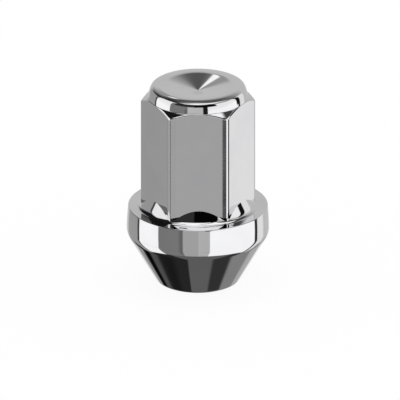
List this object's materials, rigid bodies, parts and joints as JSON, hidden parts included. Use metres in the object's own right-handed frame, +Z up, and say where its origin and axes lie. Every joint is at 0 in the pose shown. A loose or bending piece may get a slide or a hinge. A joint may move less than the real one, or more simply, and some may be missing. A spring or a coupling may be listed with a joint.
{
  "type": "acorn lug nut",
  "caption": "Chromed closed-end wheel nut: dimpled crown over a long hexagon, a barrelled collar and a conical seat, with a blind threaded hole for the stud.",
  "frame": {"origin": "centre of the flat lip at the open, seat end, where the nut stands", "axes": "+Z up the nut's axis from the seat end to the crown; two flats of the hexagon face -Y and +Y, and two corners point along -X and +X"},
  "size_m": [0.0298, 0.0298, 0.0438],
  "materials": {
    "chrome_plate": "polished"
  },
  "bodies": {
    "root": {"lug_nut": "chrome_plate"}
  },
  "joints": []
}
